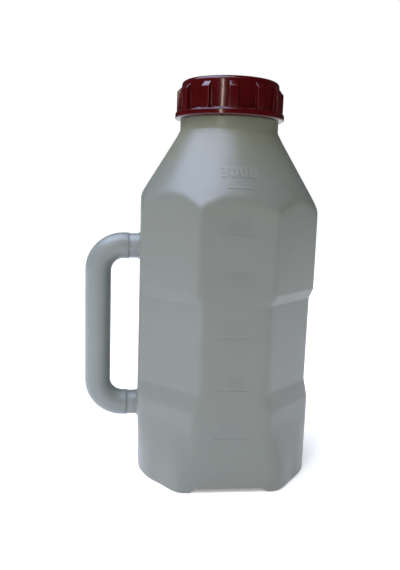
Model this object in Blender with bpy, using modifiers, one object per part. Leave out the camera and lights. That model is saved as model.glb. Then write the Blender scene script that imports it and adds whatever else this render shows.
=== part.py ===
"""Calf feeding bottle: a blow-moulded three-litre bottle with eight sides and a side
handle, closed by a ribbed screw ring that holds a rubber teat turned in for storage.

It stands on Z = 0 with its scale panel towards -Y and its handle on -X. The origin is
under the middle of the whole object, so the bottle's own axis stands off towards +X.
Sizes are in millimetres and are turned into metres where the meshes are made."""

import math

import bmesh
import bpy
from mathutils import Matrix, Vector

MM = 0.001
GAP = 0.3                      # clearance that touching pieces keep
MERGE = 0.00005                # metres

# Eight-sided body; a radius reaches from the bottle's axis to a corner
SIDES = 8
HALF_CORNER = math.pi / SIDES
FLAT = math.cos(HALF_CORNER)   # middle of a side, as a share of the corner radius
SHOULDER_Z = 207.0             # where the shoulder's cone meets the corners
RADIUS_TOP = 72.6
RADIUS_LOW = 73.4
RADIUS_FOOT = 74.3
FOOT_Z = 9.0
FOOT_BLEND_Z = 17.0
CORNER_BEVEL = 3.6
WALL = 2.2
FLOOR_Z = 6.0                  # inside of the bottom
PUSH_UP = 3.2                  # hollow under the bottom
PUSH_UP_RADIUS = 52.0
SWELL_RADIUS = 71.8            # the slanting sides swell out to this above the feet
SWELL_TOP = 46.0
SWELL_HALF_WIDTH = 68.2
NOTCH_HALF_WIDTH = 23.0        # gap between the two front feet
NOTCH_HEIGHT = 2.6

# Grip waist, which leaves out the scale panels and the handle side
WAIST_DEPTH = 2.8
WAIST_TOP = 147.0
WAIST_TOP_RAMP = 9.0
WAIST_BOTTOM = 60.0
WAIST_BOTTOM_RAMP = 16.0

# Shoulder, neck and thread
CONE_SLOPE = 0.61              # radius lost for each unit of height
COLLAR_RADIUS = 37.8
COLLAR_BASE_Z = 263.4
COLLAR_TOP_Z = 273.0
FINISH_RADIUS = 32.8           # root of the neck thread
MOUTH_RADIUS = 30.4
NECK_TOP = 293.3
THREAD_PITCH = 6.0
THREAD_BASE = 2.4
THREAD_TIP = 1.3
THREAD_STEPS = 32              # facets in one turn
NECK_THREAD_RADIUS = 34.7
NECK_THREAD_START = 277.2
NECK_THREAD_TURNS = 1.75
NECK_THREAD_ROOT = 32.2

# Handle, a separate bent tube pushed on two moulded spigots
HANDLE_REACH = 110.0
TUBE_RADIUS = 10.2
TUBE_WALL = 2.0
BEND_RADIUS = 20.0
HANDLE_TOP = 184.6
HANDLE_BOTTOM = 35.6
BOSS_RADIUS = 9.5
BOSS_FLARE = 1.8               # rounding where a boss leaves the bottle's wall
BOSS_ROOT = 66.2
BOSS_FACE = 75.5
SPIGOT_STRAIGHT = 79.5
SPIGOT_END = 83.0
SPIGOT_TAPER = 1.0

# Screw ring
CAP_RADIUS = 37.4
CAP_INNER_RADIUS = 35.4
CAP_BOTTOM = 273.6
CAP_TOP = 301.0
CAP_DECK = 2.5                 # thickness of the ring's top
CAP_HOLE_RADIUS = 30.0
CAP_EDGE = 2.4
FLANGE_RADIUS = 42.0
FLANGE_TOP = 278.2
RIBS = 12
RIB_RADIUS = 40.9
RIB_ROOT = 36.6
RIB_WIDTH = 6.4
RIB_TOP = 293.2
RIB_CLOCKING = math.radians(-95.0)
CAP_THREAD_RADIUS = 33.5
CAP_THREAD_ROOT = 36.0
CAP_THREAD_BELOW = 2.4         # the ring's flight under the neck's flight
CAP_THREAD_FIRST = 0.25        # turns after the neck flight's start
CAP_THREAD_TURNS = 1.4

# Rubber teat, turned inside out into the neck, and its gasket
SEAL_THICKNESS = 1.5
SEAL_OUTER = 33.4
SEAL_INNER = 30.2
TEAT_FLANGE_RADIUS = 34.6
TEAT_WALL = 2.8
TEAT_ROOT_RADIUS = 17.4
TEAT_SHANK_RADIUS = 12.6
TEAT_BULB_RADIUS = 14.6
TEAT_LENGTH = 72.0
TEAT_HOLE_RADIUS = 1.6

# Air valve in the teat's flange
VALVE_OFFSET = 24.0
BALL_RADIUS = 2.5
VALVE_BORE = 2.9
VALVE_BARREL = 3.9
VALVE_LIP_RADIUS = 5.0
VALVE_LIP = 1.2
VALVE_HOLE_RADIUS = 1.2
BALL_REST_Z = 293.4
VALVE_SEAT_Z = 298.2
RETAINER_FLOOR = 291.0
RETAINER_WALL = 0.8

# Scale on the front panel
TICK_STEP = 500
TICK_COUNT = 5
TICK_LENGTH = 25.0
TICK_HEIGHT = 1.1
TICK_PROUD = 0.5

BODY_HALF_WIDTH = RADIUS_FOOT * FLAT
AXIS_X = (HANDLE_REACH - BODY_HALF_WIDTH) / 2


# Tools -----------------------------------------------------------------------------

def clear_scene():
    for obj in list(bpy.data.objects):
        bpy.data.objects.remove(obj, do_unlink=True)


def make_collection(name):
    collection = bpy.data.collections.new(name)
    bpy.context.scene.collection.children.link(collection)
    return collection


def make_material(name, colour, roughness, metallic=0.0):
    material = bpy.data.materials.new(name)
    material.use_nodes = True
    shader = material.node_tree.nodes["Principled BSDF"]
    shader.inputs["Base Color"].default_value = (*colour, 1.0)
    shader.inputs["Roughness"].default_value = roughness
    shader.inputs["Metallic"].default_value = metallic
    material.diffuse_color = (*colour, 1.0)
    return material


def add_empty(name, collection, location, parent=None):
    empty = bpy.data.objects.new(name, None)
    empty.location = [value * MM for value in location]
    empty.parent = parent
    collection.objects.link(empty)
    return empty


def add_object(name, mesh, collection, parent, material=None):
    obj = bpy.data.objects.new(name, mesh)
    obj.parent = parent
    collection.objects.link(obj)
    if material is not None:
        mesh.materials.append(material)
    return obj


def mark_as_cutter(obj):
    obj.hide_render = True
    obj.display_type = "WIRE"
    return obj


def smooth(obj, angle=math.radians(35)):
    obj.data.shade_smooth()
    obj.data.set_sharp_from_angle(angle=angle)


def boolean(target, tool, operation="DIFFERENCE"):
    modifier = target.modifiers.new(f"{operation.title()} {tool.name}", "BOOLEAN")
    modifier.operation = operation
    modifier.solver = "EXACT"
    modifier.object = tool


def turned(name, profile, collection, parent, steps=64, closed=False, start=0.0):
    """Turn (radius, height) points, listed down the outer side, about local Z."""
    direction = Vector((math.cos(start), math.sin(start), 0))
    verts = [(direction * radius + Vector((0, 0, height))) * MM for radius, height in profile]
    edges = [(i, i + 1) for i in range(len(verts) - 1)]
    if closed:
        edges.append((len(verts) - 1, 0))
    mesh = bpy.data.meshes.new(name)
    mesh.from_pydata(verts, edges, [])
    obj = add_object(name, mesh, collection, parent)
    screw = obj.modifiers.new("Turn", "SCREW")
    screw.axis = "Z"
    screw.steps = steps
    screw.render_steps = steps
    screw.use_smooth_shade = False
    screw.use_merge_vertices = True
    screw.merge_threshold = MERGE
    return obj


def arc(centre, radius, first, last, count):
    """Points of an arc in the profile plane, angles in degrees from outwards."""
    points = []
    for i in range(count + 1):
        angle = math.radians(first + (last - first) * i / count)
        points.append((centre[0] + radius * math.cos(angle), centre[1] + radius * math.sin(angle)))
    return points


def add_box(bm, low, high, spin=0.0):
    """A box between two corners, turned about Z afterwards."""
    centre = [(a + b) / 2 * MM for a, b in zip(low, high)]
    size = [(b - a) * MM for a, b in zip(low, high)]
    place = Matrix.Rotation(spin, 4, "Z") @ Matrix.Translation(centre)
    return bmesh.ops.create_cube(bm, size=1.0, matrix=place @ Matrix.Diagonal((*size, 1.0)))["verts"]


def box_cutter(name, boxes, collection, parent):
    bm = bmesh.new()
    for low, high in boxes:
        add_box(bm, low, high)
    mesh = bpy.data.meshes.new(name)
    bm.to_mesh(mesh)
    bm.free()
    return mark_as_cutter(add_object(name, mesh, collection, parent))


def screw_thread(name, root, crest, height, first_turn, turns, collection, parent):
    """A helical ridge with closed ends, rising anticlockwise."""
    bm = bmesh.new()
    angle = first_turn * math.tau
    start = Vector((math.cos(angle), math.sin(angle), 0))
    middle = height + first_turn * THREAD_PITCH
    section = (
        (root, -THREAD_BASE / 2),
        (crest, -THREAD_TIP / 2),
        (crest, THREAD_TIP / 2),
        (root, THREAD_BASE / 2),
    )
    verts = [bm.verts.new((start * r + Vector((0, 0, middle + z))) * MM) for r, z in section]
    face = bm.faces.new(verts)
    steps = round(turns * THREAD_STEPS)
    bmesh.ops.spin(
        bm,
        geom=[face, *face.edges, *face.verts],
        cent=(0, 0, 0),
        axis=(0, 0, 1),
        dvec=(0, 0, turns * THREAD_PITCH * MM / steps),
        angle=turns * math.tau,
        steps=steps,
        use_duplicate=False,
    )
    bmesh.ops.recalc_face_normals(bm, faces=bm.faces)
    mesh = bpy.data.meshes.new(name)
    bm.to_mesh(mesh)
    bm.free()
    return mark_as_cutter(add_object(name, mesh, collection, parent))


# Bottle ----------------------------------------------------------------------------

def side_radius(height):
    """Corner radius of the plain side at a height; the body tapers a little upwards."""
    share = min(max((height - FOOT_BLEND_Z) / (SHOULDER_Z - FOOT_BLEND_Z), 0), 1)
    return RADIUS_LOW + (RADIUS_TOP - RADIUS_LOW) * share


def waist_profile(inset=0.0, overrun=0.0):
    """The waist's (radius, height) points from top to bottom.

    Each ramp runs on past the plain side by a share of its length, so that a cutter of
    this shape crosses the side cleanly."""
    deep = WAIST_DEPTH / FLAT + inset
    upper = WAIST_TOP - WAIST_TOP_RAMP
    lower = WAIST_BOTTOM + WAIST_BOTTOM_RAMP
    past = overrun * WAIST_DEPTH / FLAT
    return [
        (side_radius(WAIST_TOP) - inset + past, WAIST_TOP + overrun * WAIST_TOP_RAMP),
        (side_radius(upper) - deep, upper),
        (side_radius(lower) - deep, lower),
        (side_radius(WAIST_BOTTOM) - inset + past, WAIST_BOTTOM - overrun * WAIST_BOTTOM_RAMP),
    ]


def cone_height(radius, inset=0.0):
    """Height of the shoulder's cone at a radius."""
    slant = math.hypot(1, CONE_SLOPE)
    return COLLAR_BASE_Z - (radius + inset * slant - COLLAR_RADIUS) / CONE_SLOPE


def eight_sided(name, profile, collection, parent, bevel):
    obj = turned(name, profile, collection, parent, steps=SIDES, start=HALF_CORNER)
    edge = obj.modifiers.new("Rounded corners", "BEVEL")
    edge.width = bevel * MM
    edge.segments = 3
    edge.limit_method = "ANGLE"
    edge.angle_limit = math.radians(35)
    return obj


def shoulder_envelope(name, collection, parent):
    """Neck and shoulder as a turned solid that is wider than the body below."""
    over = 95.0
    profile = [
        (0, NECK_TOP),
        (FINISH_RADIUS - 0.6, NECK_TOP),
        (FINISH_RADIUS, NECK_TOP - 0.6),
        (FINISH_RADIUS, COLLAR_TOP_Z),
        (COLLAR_RADIUS - 0.8, COLLAR_TOP_Z),
        (COLLAR_RADIUS, COLLAR_TOP_Z - 0.8),
        (COLLAR_RADIUS, COLLAR_BASE_Z + 2.0),
        (COLLAR_RADIUS + 0.4, COLLAR_BASE_Z + 0.4),
        (COLLAR_RADIUS + 1.6, cone_height(COLLAR_RADIUS + 1.6)),
        (over, cone_height(over)),
        (over, -10.0),
        (0, -10.0),
    ]
    return mark_as_cutter(turned(name, profile, collection, parent))


def cavity(collection, parent):
    """The hollow inside of the bottle, open through the mouth."""
    above = NECK_TOP + 20
    inset = WALL / FLAT
    over = 95.0
    sides = [
        (0, above),
        (RADIUS_TOP - inset, above),
        (RADIUS_TOP - inset, SHOULDER_Z),
        *waist_profile(inset),
        (side_radius(FOOT_BLEND_Z) - inset, FOOT_BLEND_Z),
        (side_radius(FOOT_BLEND_Z) - inset, FLOOR_Z),
        (0, FLOOR_Z),
    ]
    hollow = eight_sided("cavity", sides, collection, parent, CORNER_BEVEL - 0.9)
    inner_collar = COLLAR_RADIUS - WALL - 0.3
    throat = [
        (0, above + 5),
        (MOUTH_RADIUS, above + 5),
        (MOUTH_RADIUS, COLLAR_TOP_Z - 2.4),
        (inner_collar, COLLAR_TOP_Z - 5.6),
        (inner_collar, cone_height(inner_collar, WALL)),
        (over, cone_height(over, WALL)),
        (over, -15.0),
        (0, -15.0),
    ]
    envelope = mark_as_cutter(turned("cavity_envelope", throat, collection, parent))
    boolean(hollow, envelope, "INTERSECT")
    return mark_as_cutter(hollow)


def kept_sides(collection, parent):
    """The front, the back and the handle side, which the waist leaves whole.

    It is a four-sided solid on the planes of the slanting sides in the waist, so the
    sides meet in plain edges."""
    inner = waist_profile(overrun=0.2)
    square = FLAT / math.cos(math.pi / 4)
    slants = [(radius * square - 0.05, height) for radius, height in inner]
    high = slants[0][1] + 1
    low = slants[-1][1] - 1
    profile = [(0, high), (slants[0][0], high), *slants, (slants[-1][0], low), (0, low)]
    kept = turned("kept_sides", profile, collection, parent, steps=4)
    middle = box_cutter("waist_middle", [((-45, -45, low - 1), (99, 45, high + 1))], collection, parent)
    boolean(kept, middle)
    return mark_as_cutter(kept)


def waist_band(collection, parent):
    """A ring that cuts the waist into the slanting sides and the side opposite the handle."""
    over = 95.0
    inner = waist_profile(overrun=0.2)
    profile = [(over, inner[0][1]), (over, inner[-1][1]), *reversed(inner)]
    band = turned(
        "waist_band", profile, collection, parent, steps=SIDES, closed=True, start=HALF_CORNER
    )
    boolean(band, kept_sides(collection, parent))
    return mark_as_cutter(band)


def handle_levels():
    """Heights of the handle's two arms, at the middle of the tube."""
    return (HANDLE_TOP - TUBE_RADIUS, HANDLE_BOTTOM + TUBE_RADIUS)


def handle_spigot(name, level, collection, parent):
    """A moulded boss on the handle side, with a spigot that the handle's tube goes over."""
    spigot_radius = TUBE_RADIUS - TUBE_WALL - GAP
    profile = [
        (0, SPIGOT_END),
        (spigot_radius - SPIGOT_TAPER, SPIGOT_END),
        (spigot_radius, SPIGOT_STRAIGHT),
        (spigot_radius, BOSS_FACE),
        (BOSS_RADIUS - 0.6, BOSS_FACE),
        (BOSS_RADIUS, BOSS_FACE - 0.6),
        (BOSS_RADIUS, BOSS_ROOT + 2 + BOSS_FLARE),
        (BOSS_RADIUS + BOSS_FLARE, BOSS_ROOT + 2 - BOSS_FLARE / 2),
        (BOSS_RADIUS + BOSS_FLARE, BOSS_ROOT),
        (0, BOSS_ROOT),
    ]
    spigot = turned(name, profile, collection, parent, steps=32)
    spigot.location.z = level * MM
    spigot.rotation_euler.y = -math.pi / 2
    return mark_as_cutter(spigot)


def section_area(height):
    """Inside area of the bottle at a height, in square millimetres."""
    corner = side_radius(height) - WALL / FLAT
    if WAIST_BOTTOM + WAIST_BOTTOM_RAMP / 2 < height < WAIST_TOP - WAIST_TOP_RAMP / 2:
        corner -= WAIST_DEPTH / FLAT
    return 2 * math.sqrt(2) * corner ** 2


def fill_height(millilitres):
    """Height that a volume of milk reaches in the straight part of the bottle."""
    step = 0.25
    height = FLOOR_Z
    volume = 0.0
    while volume < millilitres * 1000:
        volume += section_area(height) * step
        height += step
    return height


def scale_ticks(collection, parent):
    """Raised lines on the front panel, one for each half litre."""
    boxes = []
    for i in range(1, TICK_COUNT + 1):
        level = fill_height(i * TICK_STEP)
        face = side_radius(level) * FLAT
        low = (-TICK_LENGTH / 2, -face - TICK_PROUD, level - TICK_HEIGHT / 2)
        high = (TICK_LENGTH / 2, -face + 1.0, level + TICK_HEIGHT / 2)
        boxes.append((low, high))
    return box_cutter("scale_ticks", boxes, collection, parent)


def foot_notches(collection, parent):
    boxes = []
    for side in (-1, 1):
        near, far = sorted((side * 48.0, side * 90.0))
        boxes.append(((-NOTCH_HALF_WIDTH, near, -5.0), (NOTCH_HALF_WIDTH, far, NOTCH_HEIGHT)))
    return box_cutter("foot_notches", boxes, collection, parent)


def foot_swell(collection, parent):
    """The rounder lower end of the four slanting sides."""
    profile = [
        (0, SWELL_TOP),
        (RADIUS_LOW * FLAT - 1.5, SWELL_TOP),
        (SWELL_RADIUS - 1.6, FOOT_Z + 14),
        (SWELL_RADIUS, FOOT_Z),
        (SWELL_RADIUS, 3.0),
        (SWELL_RADIUS - 2.2, 0.5),
        (0, 0.5),
    ]
    swell = turned("foot_swell", profile, collection, parent, steps=48)
    half = SWELL_HALF_WIDTH
    frame = box_cutter("swell_frame", [((-half, -half, -5), (half, half, 60))], collection, parent)
    boolean(swell, frame, "INTERSECT")
    return mark_as_cutter(swell)


def push_up(collection, parent):
    profile = [
        (0, PUSH_UP),
        (PUSH_UP_RADIUS - 6, PUSH_UP),
        (PUSH_UP_RADIUS, 0),
        (PUSH_UP_RADIUS + 1, -2),
        (0, -2),
    ]
    return mark_as_cutter(turned("push_up", profile, collection, parent, steps=48))


def bottle_body(parts, cutters, axis, material):
    above = NECK_TOP + 10
    profile = [
        (0, above),
        (RADIUS_TOP, above),
        (RADIUS_TOP, SHOULDER_Z),
        (RADIUS_LOW, FOOT_BLEND_Z),
        (RADIUS_FOOT, FOOT_Z),
        (RADIUS_FOOT, 0),
        (0, 0),
    ]
    body = eight_sided("bottle_body", profile, parts, axis, CORNER_BEVEL)
    body.data.materials.append(material)
    boolean(body, shoulder_envelope("shoulder_envelope", cutters, axis), "INTERSECT")
    boolean(body, waist_band(cutters, axis))
    boolean(body, foot_swell(cutters, axis), "UNION")
    boolean(body, foot_notches(cutters, axis))
    boolean(body, push_up(cutters, axis))
    boolean(body, scale_ticks(cutters, axis), "UNION")
    for name, level in zip(("upper_spigot", "lower_spigot"), handle_levels()):
        boolean(body, handle_spigot(name, level, cutters, axis), "UNION")
    neck_thread = screw_thread(
        "neck_thread",
        NECK_THREAD_ROOT,
        NECK_THREAD_RADIUS,
        NECK_THREAD_START,
        0.0,
        NECK_THREAD_TURNS,
        cutters,
        axis,
    )
    boolean(body, neck_thread, "UNION")
    boolean(body, cavity(cutters, axis))
    return body


def handle_path():
    """Points along the middle of the handle's tube, from the upper arm to the lower."""
    top, bottom = handle_levels()
    grip_x = -(HANDLE_REACH - TUBE_RADIUS)
    arm_x = -(BOSS_FACE + GAP)
    bend_x = grip_x + BEND_RADIUS
    points = [(arm_x, top)]
    points += arc((bend_x, top - BEND_RADIUS), BEND_RADIUS, 90, 180, 8)
    points += arc((bend_x, bottom + BEND_RADIUS), BEND_RADIUS, 180, 270, 8)
    points.append((arm_x, bottom))
    return points


def handle_tube(parts, axis, material):
    curve = bpy.data.curves.new("handle_path", "CURVE")
    curve.dimensions = "3D"
    curve.bevel_depth = TUBE_RADIUS * MM
    curve.bevel_resolution = 6
    points = handle_path()
    spline = curve.splines.new("POLY")
    spline.points.add(len(points) - 1)
    for point, (x, z) in zip(spline.points, points):
        point.co = (x * MM, 0, z * MM, 1)
    path = add_object("handle_path", curve, parts, axis)
    bpy.context.view_layer.update()
    evaluated = path.evaluated_get(bpy.context.evaluated_depsgraph_get())
    mesh = bpy.data.meshes.new_from_object(evaluated)
    mesh.name = "handle_tube"
    bpy.data.objects.remove(path, do_unlink=True)
    tube = add_object("handle_tube", mesh, parts, axis, material)
    smooth(tube)
    wall = tube.modifiers.new("Wall", "SOLIDIFY")
    wall.thickness = TUBE_WALL * MM
    wall.offset = -1.0
    return tube


# Screw ring ------------------------------------------------------------------------

def grip_ribs(collection, parent):
    """Upright ribs whose top ends slope back to the ring's wall."""
    bm = bmesh.new()
    slope = RIB_RADIUS - RIB_ROOT
    for i in range(RIBS):
        spin = RIB_CLOCKING + i * math.tau / RIBS
        low = (RIB_ROOT, -RIB_WIDTH / 2, CAP_BOTTOM + 2.5)
        high = (RIB_RADIUS, RIB_WIDTH / 2, RIB_TOP)
        for vert in add_box(bm, low, high, spin):
            radius = vert.co.xy.length / MM
            if vert.co.z > (RIB_TOP - 1) * MM and radius < (RIB_ROOT + RIB_RADIUS) / 2:
                vert.co.z += slope * MM
    mesh = bpy.data.meshes.new("grip_ribs")
    bm.to_mesh(mesh)
    bm.free()
    return mark_as_cutter(add_object("grip_ribs", mesh, collection, parent))


def screw_cap(parts, cutters, axis, material):
    deck = CAP_TOP - CAP_DECK
    profile = [
        (CAP_HOLE_RADIUS, CAP_TOP - 0.8),
        (CAP_HOLE_RADIUS + 0.8, CAP_TOP),
        *arc((CAP_RADIUS - CAP_EDGE, CAP_TOP - CAP_EDGE), CAP_EDGE, 90, 0, 3),
        (CAP_RADIUS, FLANGE_TOP + 0.6),
        (CAP_RADIUS + 0.8, FLANGE_TOP),
        (FLANGE_RADIUS - 1.2, FLANGE_TOP - 0.2),
        (FLANGE_RADIUS, FLANGE_TOP - 1.4),
        (FLANGE_RADIUS, CAP_BOTTOM + 1.0),
        (FLANGE_RADIUS - 1.0, CAP_BOTTOM),
        (CAP_INNER_RADIUS + 3.4, CAP_BOTTOM),
        (CAP_INNER_RADIUS, CAP_BOTTOM + 1.2),
        (CAP_INNER_RADIUS, deck),
        (CAP_HOLE_RADIUS, deck),
    ]
    cap = turned("screw_cap", profile, parts, axis, closed=True)
    cap.data.materials.append(material)
    boolean(cap, grip_ribs(cutters, axis), "UNION")
    cap_thread = screw_thread(
        "cap_thread",
        CAP_THREAD_ROOT,
        CAP_THREAD_RADIUS,
        NECK_THREAD_START - CAP_THREAD_BELOW,
        CAP_THREAD_FIRST,
        CAP_THREAD_TURNS,
        cutters,
        axis,
    )
    boolean(cap, cap_thread, "UNION")
    return cap


# Teat, seal and air valve ------------------------------------------------------------

def neck_gasket(parts, axis, material):
    low = NECK_TOP + GAP
    high = low + SEAL_THICKNESS
    profile = [(SEAL_INNER, high), (SEAL_OUTER, high), (SEAL_OUTER, low), (SEAL_INNER, low)]
    gasket = turned("neck_gasket", profile, parts, axis, steps=48, closed=True)
    gasket.data.materials.append(material)
    return gasket


def teat_profile():
    """The turned-in teat: down its outer side, round the tip and up its inside."""
    deck = CAP_TOP - CAP_DECK - GAP
    under = NECK_TOP + SEAL_THICKNESS + 2 * GAP
    tip = deck - TEAT_LENGTH
    bulb_z = tip + TEAT_BULB_RADIUS
    fillet = 3.0
    root = TEAT_ROOT_RADIUS
    outside = [(TEAT_FLANGE_RADIUS, deck), (TEAT_FLANGE_RADIUS, under)]
    outside += arc((root + fillet, under - fillet), fillet, 90, 180, 3)
    outside += [(TEAT_SHANK_RADIUS + 1.2, deck - 0.45 * TEAT_LENGTH)]
    outside += [(TEAT_SHANK_RADIUS, deck - 0.62 * TEAT_LENGTH)]
    outside += arc((0, bulb_z), TEAT_BULB_RADIUS, 20, -80, 7)
    outside += [(TEAT_HOLE_RADIUS, tip)]
    inner_bulb = TEAT_BULB_RADIUS - TEAT_WALL
    inside = [(TEAT_HOLE_RADIUS, tip + TEAT_WALL)]
    inside += arc((0, bulb_z), inner_bulb, -75, 20, 6)
    inside += [(TEAT_SHANK_RADIUS - TEAT_WALL, deck - 0.62 * TEAT_LENGTH)]
    inside += [(TEAT_SHANK_RADIUS + 1.2 - TEAT_WALL, deck - 0.45 * TEAT_LENGTH)]
    inner_fillet = fillet + TEAT_WALL
    inside += arc((root + fillet, deck - inner_fillet), inner_fillet, 180, 90, 3)
    return outside + inside


def teat(parts, cutters, axis, valve_axis, material):
    obj = turned("teat", teat_profile(), parts, axis, steps=32, closed=True)
    obj.data.materials.append(material)
    height = TEAT_WALL + 6
    hole_radius = VALVE_BARREL + GAP
    middle = CAP_TOP - CAP_DECK - GAP - TEAT_WALL / 2
    profile = [
        (0, middle + height / 2),
        (hole_radius, middle + height / 2),
        (hole_radius, middle - height / 2),
        (0, middle - height / 2),
    ]
    hole = turned("valve_hole", profile, cutters, valve_axis, steps=24)
    boolean(obj, mark_as_cutter(hole))
    return obj


def air_valve_housing(parts, valve_axis, material):
    """A flanged bush through the teat's flange, with the ball's seat under its top."""
    lip_low = CAP_TOP - CAP_DECK
    lip_high = lip_low + VALVE_LIP
    profile = [
        (VALVE_HOLE_RADIUS, lip_high),
        (VALVE_LIP_RADIUS - 0.4, lip_high),
        (VALVE_LIP_RADIUS, lip_high - 0.4),
        (VALVE_LIP_RADIUS, lip_low),
        (VALVE_BARREL, lip_low),
        (VALVE_BARREL, RETAINER_FLOOR + GAP),
        (VALVE_BORE, RETAINER_FLOOR + GAP),
        (VALVE_BORE, VALVE_SEAT_Z - 1.2),
        (VALVE_HOLE_RADIUS, VALVE_SEAT_Z),
    ]
    housing = turned("air_valve_housing", profile, parts, valve_axis, steps=24, closed=True)
    housing.data.materials.append(material)
    return housing


def air_valve_retainer(parts, valve_axis, material):
    """A cup pushed on the bush from below; it holds the bush and keeps the ball in."""
    under = NECK_TOP + SEAL_THICKNESS + 2 * GAP
    inner = VALVE_BARREL + GAP
    outer = inner + RETAINER_WALL
    bottom = RETAINER_FLOOR - 1.2
    profile = [
        (outer, under - GAP),
        (outer, bottom),
        (VALVE_HOLE_RADIUS, bottom),
        (VALVE_HOLE_RADIUS, RETAINER_FLOOR),
        (inner, RETAINER_FLOOR),
        (inner, under - GAP),
    ]
    retainer = turned("air_valve_retainer", profile, parts, valve_axis, steps=24, closed=True)
    retainer.data.materials.append(material)
    return retainer


def air_valve_ball(parts, valve_axis, material):
    bm = bmesh.new()
    bmesh.ops.create_icosphere(bm, subdivisions=3, radius=BALL_RADIUS * MM)
    mesh = bpy.data.meshes.new("air_valve_ball")
    bm.to_mesh(mesh)
    bm.free()
    ball = add_object("air_valve_ball", mesh, parts, valve_axis, material)
    ball.location = (0, 0, BALL_REST_Z * MM)
    mesh.shade_smooth()
    return ball


def main():
    clear_scene()
    parts = make_collection("calf_feeding_bottle")
    cutters = make_collection("cutters")
    polyethylene = make_material("Natural polyethylene", (0.36, 0.40, 0.37), 0.42)
    red_polypropylene = make_material("Red polypropylene", (0.12, 0.002, 0.006), 0.22)
    latex = make_material("Amber natural rubber", (0.42, 0.19, 0.07), 0.55)
    silicone = make_material("White silicone", (0.75, 0.75, 0.72), 0.5)
    white_plastic = make_material("White acetal", (0.8, 0.8, 0.78), 0.35)
    steel = make_material("Stainless steel", (0.6, 0.6, 0.6), 0.18, 1.0)

    bottle_axis = add_empty("bottle_axis", parts, (AXIS_X, 0, 0))
    valve_axis = add_empty("valve_axis", parts, (VALVE_OFFSET, 0, 0), bottle_axis)

    bottle_body(parts, cutters, bottle_axis, polyethylene)
    handle_tube(parts, bottle_axis, polyethylene)
    screw_cap(parts, cutters, bottle_axis, red_polypropylene)
    neck_gasket(parts, bottle_axis, silicone)
    teat(parts, cutters, bottle_axis, valve_axis, latex)
    air_valve_housing(parts, valve_axis, white_plastic)
    air_valve_retainer(parts, valve_axis, white_plastic)
    air_valve_ball(parts, valve_axis, steel)


main()
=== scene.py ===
"""Visual model of a calf feeding bottle, laid out as a Blender add-on.

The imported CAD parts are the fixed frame. Each operator below makes one piece, or one
group of like pieces, in the same frame and in metres."""

import math
from types import SimpleNamespace

import bmesh
import bpy
from bpy.props import FloatProperty, FloatVectorProperty, IntProperty, PointerProperty
from mathutils import Matrix, Vector


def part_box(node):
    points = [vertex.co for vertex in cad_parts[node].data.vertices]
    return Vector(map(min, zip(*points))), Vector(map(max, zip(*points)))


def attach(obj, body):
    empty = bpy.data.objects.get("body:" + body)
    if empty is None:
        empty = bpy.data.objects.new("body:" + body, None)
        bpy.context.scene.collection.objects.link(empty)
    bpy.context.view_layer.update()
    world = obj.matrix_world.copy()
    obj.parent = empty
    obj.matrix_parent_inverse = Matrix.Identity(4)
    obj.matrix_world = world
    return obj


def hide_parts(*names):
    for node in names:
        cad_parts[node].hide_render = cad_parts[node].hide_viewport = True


bl_info = {
    "name": "Calf Feeding Bottle", "version": (1, 0, 0), "blender": (4, 5, 0),
    "location": "3D View > Sidebar > Feeding Bottle",
    "description": "Makes a three-litre calf feeding bottle around its CAD frame",
    "category": "Add Mesh",
}

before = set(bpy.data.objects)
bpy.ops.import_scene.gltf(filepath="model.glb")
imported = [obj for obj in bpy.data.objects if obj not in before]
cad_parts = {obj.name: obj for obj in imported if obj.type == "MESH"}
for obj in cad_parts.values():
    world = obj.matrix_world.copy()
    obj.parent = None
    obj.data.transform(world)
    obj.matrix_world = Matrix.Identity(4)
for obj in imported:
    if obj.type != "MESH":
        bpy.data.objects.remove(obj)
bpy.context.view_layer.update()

MM = 0.001


# Places taken from the frame -------------------------------

def box_mm(node):
    """Lowest and highest corner of a CAD node, in millimetres."""
    low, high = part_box(node)
    return [value / MM for value in low], [value / MM for value in high]


CAP_LOW, CAP_HIGH = box_mm("screw_cap")
BODY_LOW, BODY_HIGH = box_mm("bottle_body")
TUBE_LOW, TUBE_HIGH = box_mm("handle_tube")
TEAT_LOW, TEAT_HIGH = box_mm("teat")
SEAL_LOW, SEAL_HIGH = box_mm("neck_gasket")
BUSH_LOW, BUSH_HIGH = box_mm("air_valve_housing")
CUP_LOW, CUP_HIGH = box_mm("air_valve_retainer")

AXIS_X = (CAP_LOW[0] + CAP_HIGH[0]) / 2
VALVE_X = (BUSH_LOW[0] + BUSH_HIGH[0]) / 2
NECK_TOP = BODY_HIGH[2]
HALF_WIDTH = BODY_HIGH[1]
TUBE_RADIUS = TUBE_HIGH[1]


# Small tools -----------------------------------------------

def linear(hex_colour):
    """An sRGB hex colour as linear RGB."""
    channels = [int(hex_colour[i:i + 2], 16) / 255 for i in (1, 3, 5)]
    return [c / 12.92 if c <= 0.04045 else ((c + 0.055) / 1.055) ** 2.4 for c in channels]


def step(low, high, value):
    """A smooth 0 to 1 between two values, in either order."""
    share = min(max((value - low) / (high - low), 0), 1)
    return share * share * (3 - 2 * share)


def mix(a, b, share):
    return a + (b - a) * share


def at(x, y, z):
    """A point given from the bottle's axis, in millimetres, as metres in the frame."""
    return Vector(((x + AXIS_X) * MM, y * MM, z * MM))


def finish_mesh(name, mesh, material, smooth_angle=40):
    """Links a mesh whose place is in its vertices, and gives it its material."""
    obj = bpy.data.objects.new(name, mesh)
    bpy.context.scene.collection.objects.link(obj)
    mesh.materials.clear()
    mesh.materials.append(material)
    mesh.shade_smooth()
    mesh.set_sharp_from_angle(angle=math.radians(smooth_angle))
    return obj


def ride_with_slot(piece, body):
    """Makes a piece move with a body."""
    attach(piece, body)


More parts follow.
